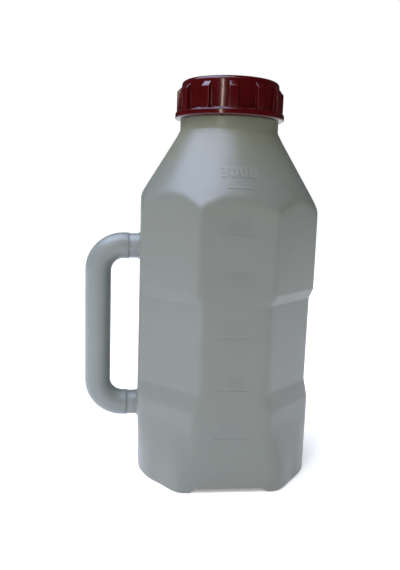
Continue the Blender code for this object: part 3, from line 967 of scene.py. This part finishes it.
def thread_mesh(name, radius, turns, first_turn, height, width, depth, material):
    """A thread in place: it starts first_turn round from +X, at a height."""
    s = sizes_in_mm()
    values = {
        "Radius": radius * MM, "Turns": turns, "Pitch": s.thread_pitch * MM, "Steps": round(turns * 96),
        "Section Width": width * MM, "Section Height": depth * MM, "Material": material,
    }
    mesh = run_tree(helper_object(name, bpy.data.meshes.new(name)), thread_tree(), values)
    place = Matrix.Translation(at(0, 0, height + first_turn * s.thread_pitch))
    mesh.transform(place @ Matrix.Rotation(first_turn * math.tau, 4, "Z"))
    return mesh


NECK_THREAD_START = 277.2
NECK_THREAD_CREST = 34.7
NECK_THREAD_TURNS = 1.75
CAP_THREAD_CREST = 33.5
CAP_THREAD_FIRST = 0.25
CAP_THREAD_TURNS = 1.4
CAP_THREAD_BELOW = 2.4
THREAD_WIDTH = 1.8


class FEEDINGBOTTLE_OT_threads(bpy.types.Operator):
    """Make the screw threads on the neck and inside the ring"""

    bl_idname = "feeding_bottle.threads"
    bl_label = "Screw Threads"

    def execute(self, context):
        neck_depth = NECK_THREAD_CREST - FINISH_RADIUS + 0.6
        hdpe = material_for(hdpe_bottle_wall)
        mesh = thread_mesh(
            "neck_thread", NECK_THREAD_CREST - neck_depth / 2, NECK_THREAD_TURNS, 0.0,
            NECK_THREAD_START, THREAD_WIDTH, neck_depth, hdpe,
        )
        ride_with_slot(finish_mesh("neck_thread", mesh, hdpe, 50), "bottle")
        ring_depth = RING_INNER - CAP_THREAD_CREST + 0.6
        red = material_for(pp_injection_moulded)
        mesh = thread_mesh(
            "ring_thread", CAP_THREAD_CREST + ring_depth / 2, CAP_THREAD_TURNS, CAP_THREAD_FIRST,
            NECK_THREAD_START - CAP_THREAD_BELOW, THREAD_WIDTH, ring_depth, red,
        )
        ride_with_slot(finish_mesh("ring_thread", mesh, red, 50), "cap")
        return {"FINISHED"}


# Screw ring ------------------------------------------------

RING_RADIUS = 37.4
RING_INNER = 35.4
RING_HOLE = 30.0
RING_DECK = 2.5
COLLAR_CLEAR = 38.2
FLANGE_HEIGHT = 4.4
RIB_RADIUS = 40.9
RIB_ROOT = 36.6
RIB_WIDTH = 6.4
RIB_SLOPE_TOP = 3.5            # the ribs' slopes start this far under the ring's top
SKIRT_DROP = 0.8               # the flange hangs down round the collar by this much
RIB_CLOCKING = math.radians(-95.0)


def ring_profile():
    low = CAP_LOW[2]
    top = CAP_HIGH[2]
    flange = CAP_HIGH[1]
    flange_top = low + FLANGE_HEIGHT
    points = [
        (RING_HOLE, top), (RING_RADIUS, top), (RING_RADIUS, flange_top), (flange, flange_top),
        (flange, low - SKIRT_DROP), (COLLAR_CLEAR, low - SKIRT_DROP), (COLLAR_CLEAR, low),
        (RING_INNER, low + 1.2), (RING_INNER, top - RING_DECK), (RING_HOLE, top - RING_DECK),
    ]
    return rounded(points, [0.8, 3.0, 1.2, 1.6, 1.3, 0.25, 0.2, 0.4, 0.8, 0.5], 7)


def rib_mesh():
    """One grip rib on the +X side: an upright bar with a sloping top and soft edges."""
    low = CAP_LOW[2] + 2.6
    high = CAP_HIGH[2] - RIB_SLOPE_TOP
    slope = RIB_RADIUS - RIB_ROOT
    half = RIB_WIDTH / 2
    bm = bmesh.new()
    outline = [(RIB_ROOT, low), (RIB_RADIUS, low), (RIB_RADIUS, high - slope), (RIB_ROOT, high)]
    near = [bm.verts.new((x * MM, -half * MM, z * MM)) for x, z in outline]
    face = bm.faces.new(near)
    pushed = bmesh.ops.extrude_face_region(bm, geom=[face])["geom"]
    moved = [item for item in pushed if isinstance(item, bmesh.types.BMVert)]
    bmesh.ops.translate(bm, verts=moved, vec=(0, RIB_WIDTH * MM, 0))
    bmesh.ops.recalc_face_normals(bm, faces=bm.faces)
    outer = [e for e in bm.edges if max(v.co.x for v in e.verts) > (RIB_ROOT + 1) * MM]
    bmesh.ops.bevel(
        bm, geom=outer, offset=0.7 * MM, segments=4, profile=0.5, affect="EDGES", clamp_overlap=True
    )
    mesh = bpy.data.meshes.new("grip_rib")
    bm.to_mesh(mesh)
    bm.free()
    return mesh


class FEEDINGBOTTLE_OT_screw_ring(bpy.types.Operator):
    """Make the red screw ring and its grip ribs"""

    bl_idname = "feeding_bottle.screw_ring"
    bl_label = "Screw Ring"

    def execute(self, context):
        s = sizes_in_mm()
        red = material_for(pp_injection_moulded)
        ring = finish_mesh("screw_ring", turned("screw_ring", ring_profile(), steps=192), red)
        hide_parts("screw_cap")
        ride_with_slot(ring, "cap")
        values = {"Count": s.rib_count, "Clocking": RIB_CLOCKING, "Material": red}
        mesh = run_tree(helper_object("grip_rib", rib_mesh()), ring_of_copies_tree(), values)
        mesh.transform(Matrix.Translation(at(0, 0, 0)))
        ribs = finish_mesh("grip_ribs", mesh, red)
        ride_with_slot(ribs, "cap")
        return {"FINISHED"}


# Teat, seal and air valve ----------------------------------

def teat_profile():
    """The turned-in teat: its flange, down the outer side, round the tip and back up."""
    flange = TEAT_HIGH[1]
    deck = TEAT_HIGH[2]
    tip = TEAT_LOW[2]
    wall = 2.8
    under = deck - wall
    length = deck - tip
    root = 17.4
    shank = 12.6
    bulb = 14.4
    outside = [
        (root, under), (root - 0.6, deck - 0.25 * length), (shank + 0.6, deck - 0.50 * length),
        (shank, deck - 0.66 * length), (bulb, tip + 13.5), (bulb - 3.2, tip + 3.8), (4.0, tip),
        (1.0, tip), (1.0, tip + wall), (3.0, tip + wall), (bulb - 5.0, tip + 6.4),
        (bulb - wall, tip + 13.5), (shank - wall, deck - 0.66 * length),
        (shank + 0.6 - wall, deck - 0.50 * length), (root - 0.6 - wall, deck - 0.25 * length),
        (root - wall, deck),
    ]
    points = [(flange, deck), (flange, under)] + outside
    radii = [0.9, 0.9, 3.0, 12.0, 12.0, 8.0, 6.0, 4.0, 2.4, 0.3, 0.3, 1.6]
    radii += [3.0, 4.5, 8.0, 12.0, 12.0, 5.0]
    return rounded(points, radii, 7)


def drill(obj, centre_x, radius, low, high):
    """Cuts an upright round hole through obj."""
    cutter = helper_object("drill", turned(
        "drill", [(0, high), (radius, high), (radius, low), (0, low)], centre_x, 64, False
    ))
    cut = obj.modifiers.new("Hole", "BOOLEAN")
    cut.solver = "EXACT"
    cut.object = cutter
    bpy.context.view_layer.update()
    evaluated = obj.evaluated_get(bpy.context.evaluated_depsgraph_get())
    mesh = bpy.data.meshes.new_from_object(evaluated)
    obj.modifiers.remove(cut)
    obj.data = mesh
    bpy.data.objects.remove(cutter, do_unlink=True)


class FEEDINGBOTTLE_OT_teat(bpy.types.Operator):
    """Make the rubber teat, turned inside out into the neck"""

    bl_idname = "feeding_bottle.teat"
    bl_label = "Teat"

    def execute(self, context):
        rubber = material_for(natural_rubber)
        mesh = turned("rubber_teat", teat_profile(), steps=128)
        teat = finish_mesh("rubber_teat", mesh, rubber, 60)
        drill(teat, VALVE_X - AXIS_X, CUP_INNER, TEAT_HIGH[2] - 6, TEAT_HIGH[2] + 3)
        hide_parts("teat")
        ride_with_slot(teat, "teat_stack")
        return {"FINISHED"}


class FEEDINGBOTTLE_OT_seal(bpy.types.Operator):
    """Make the flat silicone seal under the teat's flange"""

    bl_idname = "feeding_bottle.seal"
    bl_label = "Seal"

    def execute(self, context):
        inner = 30.2
        points = [
            (inner, SEAL_HIGH[2]), (SEAL_HIGH[1], SEAL_HIGH[2]), (SEAL_HIGH[1], SEAL_LOW[2]),
            (inner, SEAL_LOW[2]),
        ]
        mesh = turned("flat_seal", rounded(points, [0.4] * 4))
        seal = finish_mesh("flat_seal", mesh, material_for(silicone_seal))
        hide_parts("neck_gasket")
        ride_with_slot(seal, "teat_stack")
        return {"FINISHED"}


CUP_INNER = 4.2
BARREL_RADIUS = 3.9
BARREL_BORE = 2.9
AIR_HOLE = 1.2


def bush_profile():
    lip_low = CAP_HIGH[2] - RING_DECK
    top = BUSH_HIGH[2]
    bottom = BUSH_LOW[2]
    lip = BUSH_HIGH[1]
    points = [
        (AIR_HOLE, top), (lip, top), (lip, lip_low), (BARREL_RADIUS, lip_low), (BARREL_RADIUS, bottom),
        (BARREL_BORE, bottom), (BARREL_BORE, 297.0), (AIR_HOLE, 298.2),
    ]
    return rounded(points, [0.3, 0.5, 0.2, 0.15, 0.25, 0.2, 0.4, 0.2])


def cup_profile():
    top = CUP_HIGH[2]
    low = CUP_LOW[2]
    outer = CUP_HIGH[1]
    floor = low + 1.2
    points = [
        (outer, top), (outer, low), (AIR_HOLE, low), (AIR_HOLE, floor), (CUP_INNER, floor),
        (CUP_INNER, top),
    ]
    return rounded(points, [0.25, 0.6, 0.2, 0.2, 0.4, 0.25])


def ball_profile():
    low, high = box_mm("air_valve_ball")
    radius = (high[1] - low[1]) / 2
    middle = (high[2] + low[2]) / 2
    count = 24
    profile = [(0, middle + radius)]
    for i in range(1, count):
        angle = math.pi * i / count
        profile.append((radius * math.sin(angle), middle + radius * math.cos(angle)))
    profile.append((0, middle - radius))
    return profile


class FEEDINGBOTTLE_OT_air_valve(bpy.types.Operator):
    """Make the air valve: its bush, its retaining cup and its ball"""

    bl_idname = "feeding_bottle.air_valve"
    bl_label = "Air Valve"

    def execute(self, context):
        white = material_for(acetal_turned)
        offset = VALVE_X - AXIS_X
        for name, profile, node, body, material, slot, ring in (
            ("valve_bush", bush_profile(), "air_valve_housing", "teat_stack", white,
             "valve_plastic", True),
            ("valve_cup", cup_profile(), "air_valve_retainer", "teat_stack", white,
             "valve_plastic", True),
            ("valve_ball", ball_profile(), "air_valve_ball", "ball",
             material_for(stainless_ball), "ball_steel", False),
        ):
            piece = finish_mesh(name, turned(name, profile, offset, 64, ring), material)
            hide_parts(node)
            ride_with_slot(piece, body)
        return {"FINISHED"}


# Scale -----------------------------------------------------

MARK_PROUD = 0.11
SHOULDER_MARK_PROUD = 0.42
BOLDER = 0.2                   # how much the moulded strokes swell, in mm
SHOULDER_TICK_HEIGHT = 1.7
MARK_SUNK = 0.5
TICK_LENGTH = 25.0
SHOULDER_TICK_LENGTH = 18.6
TICK_HEIGHT = 1.2
DIGIT_SIZE = 8.0
SHOULDER_DIGIT_SIZE = 11.6
SHOULDER_TICK_Z = 222.0


def fill_height(s, millilitres):
    """Height that a volume of milk reaches in the straight part of the bottle."""
    height = 6.0
    volume = 0.0
    step_mm = 0.25
    while volume < millilitres * 1000:
        corner = side_flat(s, height) / FLAT - s.wall / FLAT
        if 68.0 < height < 142.5:
            corner -= s.waist_depth / FLAT
        volume += 2 * math.sqrt(2) * corner ** 2 * step_mm
        height += step_mm
    return height


def flat_text(text, size):
    """Digits as a thin solid in the XY plane, centred, in millimetres."""
    curve = bpy.data.curves.new("digits", "FONT")
    curve.body = text
    curve.size = size
    curve.align_x = "CENTER"
    curve.align_y = "CENTER"
    curve.offset = BOLDER
    curve.extrude = 0.4
    curve.bevel_depth = 0.2
    curve.bevel_resolution = 2
    curve.resolution_u = 6
    curve.space_character = 1.18
    obj = bpy.data.objects.new("digits", curve)
    bpy.context.scene.collection.objects.link(obj)
    bpy.context.view_layer.update()
    mesh = bpy.data.meshes.new_from_object(obj.evaluated_get(bpy.context.evaluated_depsgraph_get()))
    bpy.data.objects.remove(obj, do_unlink=True)
    bm = bmesh.new()
    bm.from_mesh(mesh)
    bmesh.ops.remove_doubles(bm, verts=bm.verts, dist=0.001)
    long_edges = [edge for edge in bm.edges if edge.calc_length() > 3.0]
    bmesh.ops.subdivide_edges(bm, edges=long_edges, cuts=3)
    bmesh.ops.triangulate(bm, faces=bm.faces)
    return bm


def bar(length, height):
    """A rounded bar in the XY plane, in millimetres."""
    bm = bmesh.new()
    bmesh.ops.create_cube(bm, size=1.0, matrix=Matrix.Diagonal((length, height, 1.0, 1.0)))
    bmesh.ops.bevel(bm, geom=list(bm.edges), offset=0.3, segments=3, profile=0.5, affect="EDGES")
    across = [e for e in bm.edges if e.calc_length() > length / 2]
    bmesh.ops.subdivide_edges(bm, edges=across, cuts=15)
    return bm


def lay_on_skin(s, bm, centre_z):
    """Bends a flat shape on to the front of the bottle, at a height."""
    on_cone = centre_z > s.shoulder_z + 8
    slant = math.hypot(1, s.cone_slope) if on_cone else 1.0
    relief = SHOULDER_MARK_PROUD if on_cone else MARK_PROUD
    for vert in bm.verts:
        across, along, out = vert.co
        height = centre_z + along / slant
        proud = mix(-MARK_SUNK, relief, max(min(out, 0.5), -0.5) + 0.5)
        if on_cone:
            angle = across / cone_radius(s, centre_z)
            radius = cone_radius(s, height) + proud
            vert.co = at(radius * math.sin(angle), -radius * math.cos(angle), height)
        else:
            vert.co = at(across, -(side_radius(s, 0.0, height) + proud), height)


def add_mark(s, total, bm, height):
    lay_on_skin(s, bm, height)
    mesh = bpy.data.meshes.new("mark")
    bm.to_mesh(mesh)
    bm.free()
    total.from_mesh(mesh)
    bpy.data.meshes.remove(mesh)


class FEEDINGBOTTLE_OT_scale(bpy.types.Operator):
    """Make the raised scale lines and their numbers"""

    bl_idname = "feeding_bottle.scale"
    bl_label = "Scale"

    def execute(self, context):
        s = sizes_in_mm()
        panel = bmesh.new()
        for millilitres in range(500, 3000, 500):
            level = fill_height(s, millilitres)
            add_mark(s, panel, bar(TICK_LENGTH, TICK_HEIGHT), level)
            add_mark(s, panel, flat_text(str(millilitres), DIGIT_SIZE), level + 7.0)
        shoulder = bmesh.new()
        line = bar(SHOULDER_TICK_LENGTH, SHOULDER_TICK_HEIGHT)
        add_mark(s, shoulder, line, SHOULDER_TICK_Z)
        number = flat_text("3000", SHOULDER_DIGIT_SIZE)
        add_mark(s, shoulder, number, SHOULDER_TICK_Z + 10.3)
        # the shoulder scale takes the paler material with the painted highlight
        for name, total, maker in (
            ("panel_scale", panel, hdpe_bottle_wall), ("shoulder_scale", shoulder, hdpe_raised_number)
        ):
            mesh = bpy.data.meshes.new(name)
            total.to_mesh(mesh)
            total.free()
            ride_with_slot(finish_mesh(name, mesh, material_for(maker)), "bottle")
        return {"FINISHED"}


# Stage -----------------------------------------------------

VIEW_AZIMUTH = -8.47           # degrees round from the scale panel, towards the handle
VIEW_DISTANCE = 478.3
VIEW_HEIGHT = 220.0
VIEW_YAW = 2.214               # degrees to the right of the bottle's axis
VIEW_PITCH = 9.11              # degrees below level
VIEW_ROLL = 1.926
LENS = 37.71


def add_light(name, place, target, size, power, colour):
    light = bpy.data.lights.new(name, "AREA")
    light.shape = "RECTANGLE"
    light.size = size[0]
    light.size_y = size[1]
    light.energy = power
    light.color = linear(colour)
    obj = bpy.data.objects.new(name, light)
    obj.location = place
    direction = Vector(target) - Vector(place)
    obj.rotation_euler = direction.to_track_quat("-Z", "Y").to_euler()
    bpy.context.scene.collection.objects.link(obj)
    return obj


def add_camera():
    camera = bpy.data.cameras.new("product_view")
    camera.sensor_fit = "AUTO"
    camera.sensor_width = 36.0
    camera.lens = LENS
    camera.clip_start = 0.01
    obj = bpy.data.objects.new("product_view", camera)
    azimuth = math.radians(VIEW_AZIMUTH)
    heading = azimuth + math.radians(VIEW_YAW)
    pitch = math.radians(VIEW_PITCH)
    level = Vector((-math.sin(heading), math.cos(heading), 0))
    forward = level * math.cos(pitch) - Vector((0, 0, math.sin(pitch)))
    right = forward.cross(Vector((0, 0, 1))).normalized()
    up = right.cross(forward)
    roll = math.radians(VIEW_ROLL)
    right_rolled = right * math.cos(roll) + up * math.sin(roll)
    up_rolled = up * math.cos(roll) - right * math.sin(roll)
    turn = Matrix((right_rolled, up_rolled, -forward)).transposed()
    place = at(VIEW_DISTANCE * math.sin(azimuth), -VIEW_DISTANCE * math.cos(azimuth), VIEW_HEIGHT)
    obj.matrix_world = Matrix.Translation(place) @ turn.to_4x4()
    bpy.context.scene.collection.objects.link(obj)
    bpy.context.scene.camera = obj
    return obj


def make_surroundings(scene):
    """A white backdrop to look at, and a dim room for the light that falls on the bottle."""
    world = bpy.data.worlds.new("studio")
    scene.world = world
    world.use_nodes = True
    tree = world.node_tree
    daylight = tree.nodes["Background"]
    daylight.inputs["Color"].default_value = (*linear("#f6f8fa"), 1.0)
    direction = add_node(tree, "ShaderNodeTexCoord")
    across = add_node(tree, "ShaderNodeSeparateXYZ", links={0: direction.outputs["Generated"]})
    from_left = add_node(
        tree, "ShaderNodeMapRange", None,
        {"From Min": -1.0, "From Max": 1.0, "To Min": 1.3, "To Max": 0.5},
        {"Value": across.outputs["X"]},
    )
    tree.links.new(from_left.outputs["Result"], daylight.inputs["Strength"])
    room = add_node(
        tree, "ShaderNodeBackground", None, {"Color": (0.035, 0.04, 0.043, 1.0), "Strength": 1.0}
    )
    backdrop = add_node(
        tree, "ShaderNodeBackground", None, {"Color": (1.0, 1.0, 1.0, 1.0), "Strength": 1.0}
    )
    rays = add_node(tree, "ShaderNodeLightPath")
    lit = add_node(
        tree, "ShaderNodeMixShader", None, None,
        {0: rays.outputs["Is Glossy Ray"], 1: daylight.outputs[0], 2: room.outputs[0]},
    )
    seen = add_node(
        tree, "ShaderNodeMixShader", None, None,
        {0: rays.outputs["Is Camera Ray"], 1: lit.outputs[0], 2: backdrop.outputs[0]},
    )
    tree.links.new(seen.outputs[0], tree.nodes["World Output"].inputs["Surface"])
    scene.view_settings.view_transform = "Standard"


class FEEDINGBOTTLE_OT_stage(bpy.types.Operator):
    """Make the pale floor, the soft lights and the camera"""

    bl_idname = "feeding_bottle.stage"
    bl_label = "Stage"

    def execute(self, context):
        bm = bmesh.new()
        bmesh.ops.create_grid(bm, x_segments=24, y_segments=24, size=6.0)
        mesh = bpy.data.meshes.new("floor")
        bm.to_mesh(mesh)
        bm.free()
        floor = finish_mesh("floor", mesh, material_for(studio_paper))
        make_surroundings(context.scene)
        middle = at(0, 0, 160)
        add_light("window", (-0.46, -0.12, 1.27), middle, (1.3, 1.0), 26.5, "#cfdaff")
        add_light("overhead", (-0.2, -0.8, 1.3), middle, (1.2, 0.8), 2.0, "#fffaf0")
        lamp_turn = math.radians(-26.0)
        lamp = at(900 * math.sin(lamp_turn), -900 * math.cos(lamp_turn), 430)
        add_light("lamp", lamp, at(0, 0, 280), (0.03, 0.36), 1.1, "#fff0e0")
        add_camera()
        return {"FINISHED"}


# Panel and registration ------------------------------------

OPERATORS = (
    FEEDINGBOTTLE_OT_body, FEEDINGBOTTLE_OT_handle, FEEDINGBOTTLE_OT_threads,
    FEEDINGBOTTLE_OT_screw_ring, FEEDINGBOTTLE_OT_teat, FEEDINGBOTTLE_OT_seal,
    FEEDINGBOTTLE_OT_air_valve, FEEDINGBOTTLE_OT_scale, FEEDINGBOTTLE_OT_stage,
)


class FEEDINGBOTTLE_PT_panel(bpy.types.Panel):
    """Lists the settings and the pieces that can be made"""

    bl_idname = "FEEDINGBOTTLE_PT_panel"
    bl_label = "Calf Feeding Bottle"
    bl_space_type = "VIEW_3D"
    bl_region_type = "UI"
    bl_category = "Feeding Bottle"

    def draw(self, context):
        settings = context.scene.feeding_bottle
        for name in settings.bl_rna.properties.keys():
            if name not in ("rna_type", "name"):
                self.layout.prop(settings, name)
        for operator in OPERATORS:
            self.layout.operator(operator.bl_idname)


def register():
    for cls in (BottleSettings, *OPERATORS, FEEDINGBOTTLE_PT_panel):
        bpy.utils.register_class(cls)
    bpy.types.Scene.feeding_bottle = PointerProperty(type=BottleSettings)


def unregister():
    del bpy.types.Scene.feeding_bottle
    for cls in reversed((BottleSettings, *OPERATORS, FEEDINGBOTTLE_PT_panel)):
        bpy.utils.unregister_class(cls)


def main():
    register()
    for operator in OPERATORS:
        group, name = operator.bl_idname.split(".")
        getattr(getattr(bpy.ops, group), name)()


if __name__ == "__main__":
    main()
